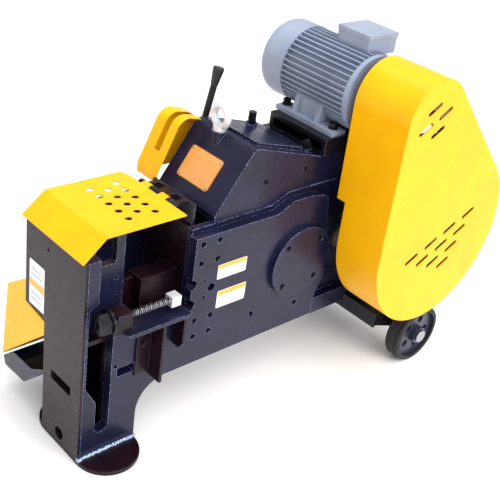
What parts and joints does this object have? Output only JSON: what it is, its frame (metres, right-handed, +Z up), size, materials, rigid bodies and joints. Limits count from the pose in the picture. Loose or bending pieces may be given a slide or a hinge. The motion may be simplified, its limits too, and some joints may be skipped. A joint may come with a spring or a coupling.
{
  "type": "rebar cutter",
  "caption": "Electric rebar cutter: throat with shear blades and flip-up cover, clutch lever, gear case, belt guard, finned motor on top and transport wheels.",
  "frame": {"origin": "on the floor, at the leg's front face and near the middle of the body's width, on the foot plate's underside", "axes": "+X from the front leg towards the wheels, +Y from the belt guard's side towards the far side, +Z up"},
  "size_m": [1.2399, 0.55, 0.928],
  "materials": {
    "black_paint": "satin",
    "black_rubber": "matte",
    "blackened_steel": "black oxide",
    "bronze": "machined bronze",
    "cast_iron_dark": "painted",
    "copper_winding": "lacquered",
    "graphite_paint": "satin",
    "grip_plastic": "moulded",
    "machined_steel": "machined",
    "motor_grey_paint": "satin",
    "orange_film": "gloss film",
    "tool_steel": "ground",
    "tyre_rubber": "moulded",
    "weld_steel": "as welded, brushed",
    "white_film": "gloss film",
    "yellow_paint": "gloss",
    "zinc_paint": "satin"
  },
  "bodies": {
    "frame": {"front_plate": "graphite_paint", "near_side_plate": "graphite_paint", "far_side_plate": "graphite_paint", "leg_far_cheek": "graphite_paint", "foot_plate": "graphite_paint", "foot_weld": "weld_steel", "case_near_wall": "graphite_paint", "case_far_wall": "graphite_paint", "case_front_wall": "graphite_paint", "case_floor": "graphite_paint", "ram_guides": "graphite_paint", "fork_rail": "machined_steel", "case_cover": "graphite_paint", "lifting_eye": "zinc_paint", "name_plate": "orange_film", "blank_labels": "white_film", "shaft_bushes": "bronze", "bearing_covers": "graphite_paint", "case_screws": "blackened_steel", "lever_guard": "yellow_paint", "blade_seat": "graphite_paint", "fixed_blade": "tool_steel", "blade_bolts": "blackened_steel", "bar_rest": "graphite_paint", "side_shelf": "graphite_paint", "shelf_bracket": "graphite_paint", "screw_block": "black_paint", "offcut_hood": "yellow_paint", "offcut_tray": "graphite_paint", "motor_mount": "black_paint", "mount_bolts": "blackened_steel", "motor_housing": "motor_grey_paint", "motor_fan_cowl": "motor_grey_paint", "terminal_box": "motor_grey_paint", "motor_stator": "copper_winding", "belt_guard": "yellow_paint", "guard_back_plate": "black_paint", "v_belts": "black_rubber", "axle_beam": "black_paint", "wheel_axle": "machined_steel", "cover_hinge": "black_paint"},
    "top_cover": {"top_cover": "yellow_paint"},
    "stop_pad": {"screw_pad": "zinc_paint"},
    "stop_screw": {"stop_screw": "blackened_steel"},
    "crankshaft": {"crankshaft": "machined_steel"},
    "connecting_rod": {"connecting_rod": "machined_steel"},
    "ram": {"ram": "graphite_paint", "moving_blade": "tool_steel"},
    "clutch_gear": {"clutch_gear": "machined_steel"},
    "clutch_collar": {"clutch_collar": "machined_steel"},
    "clutch_fork": {"clutch_fork": "machined_steel"},
    "clutch_lever": {"clutch_lever": "black_paint", "lever_grip": "grip_plastic"},
    "layshaft": {"layshaft": "machined_steel"},
    "drive": {"drive_shaft": "machined_steel", "flywheel": "cast_iron_dark"},
    "motor_rotor": {"motor_rotor": "machined_steel", "motor_pulley": "cast_iron_dark"},
    "near_wheel": {"near_wheel": "tyre_rubber"},
    "far_wheel": {"far_wheel": "tyre_rubber"}
  },
  "joints": [
    {"name": "cover_open", "type": "hinge", "parent": "frame", "child": "top_cover", "pos_m": [0.265, 0, 0.592], "axis": [0, 1, 0], "range_deg": [0, 100]},
    {"name": "stop_pad_slide", "type": "slide", "parent": "frame", "child": "stop_pad", "axis": [1, 0, 0], "range_m": [-0.008, 0.004]},
    {"name": "stop_screw_turn", "type": "hinge", "parent": "stop_pad", "child": "stop_screw", "pos_m": [0.2, -0.15, 0.398], "axis": [1, 0, 0], "range_deg": [-721, 361]},
    {"name": "crank_turn", "type": "hinge", "parent": "frame", "child": "crankshaft", "pos_m": [0.648, 0, 0.366], "axis": [0, 1, 0], "range_deg": [0, 180]},
    {"name": "rod_swing", "type": "hinge", "parent": "crankshaft", "child": "connecting_rod", "pos_m": [0.668, 0, 0.366], "axis": [0, 1, 0], "range_deg": [-180, 0]},
    {"name": "ram_stroke", "type": "slide", "parent": "frame", "child": "ram", "axis": [-1, 0, 0], "range_m": [0, 0.04]},
    {"name": "clutch_gear_spin", "type": "hinge", "parent": "frame", "child": "clutch_gear", "pos_m": [0.648, 0, 0.366], "axis": [0, 1, 0], "continuous": true},
    {"name": "collar_slide", "type": "slide", "parent": "crankshaft", "child": "clutch_collar", "axis": [0, 1, 0], "range_m": [0, 0.01]},
    {"name": "fork_slide", "type": "slide", "parent": "frame", "child": "clutch_fork", "axis": [0, 1, 0], "range_m": [0, 0.01]},
    {"name": "clutch_lever_swing", "type": "hinge", "parent": "frame", "child": "clutch_lever", "pos_m": [0.475, 0, 0.56], "axis": [0, 1, 0], "range_deg": [-60, 0]},
    {"name": "layshaft_spin", "type": "hinge", "parent": "frame", "child": "layshaft", "pos_m": [0.82787, 0, 0.37291], "axis": [0, 1, 0], "continuous": true},
    {"name": "flywheel_spin", "type": "hinge", "parent": "frame", "child": "drive", "pos_m": [0.98196, 0, 0.43191], "axis": [0, 1, 0], "continuous": true},
    {"name": "motor_spin", "type": "hinge", "parent": "frame", "child": "motor_rotor", "pos_m": [0.818, 0, 0.79], "axis": [0, 1, 0], "continuous": true},
    {"name": "near_wheel_spin", "type": "hinge", "parent": "frame", "child": "near_wheel", "pos_m": [1.034, 0, 0.087], "axis": [0, 1, 0], "continuous": true},
    {"name": "far_wheel_spin", "type": "hinge", "parent": "frame", "child": "far_wheel", "pos_m": [1.034, 0, 0.087], "axis": [0, 1, 0], "continuous": true}
  ],
  "couplings": [
    {"joint": "stop_screw_turn", "follows": "stop_pad_slide", "rad_per_m": 1570.8},
    {"joint": "rod_swing", "follows": "crank_turn", "ratio": -1},
    {"joint": "ram_stroke", "follows": "crank_turn", "m_per_rad": 0.01273},
    {"joint": "collar_slide", "follows": "clutch_lever_swing", "m_per_rad": -0.0095},
    {"joint": "fork_slide", "follows": "clutch_lever_swing", "m_per_rad": -0.0095},
    {"joint": "motor_spin", "follows": "flywheel_spin", "ratio": 4.6875},
    {"joint": "layshaft_spin", "follows": "flywheel_spin", "ratio": -0.22222},
    {"joint": "clutch_gear_spin", "follows": "flywheel_spin", "ratio": 0.063492}
  ]
}
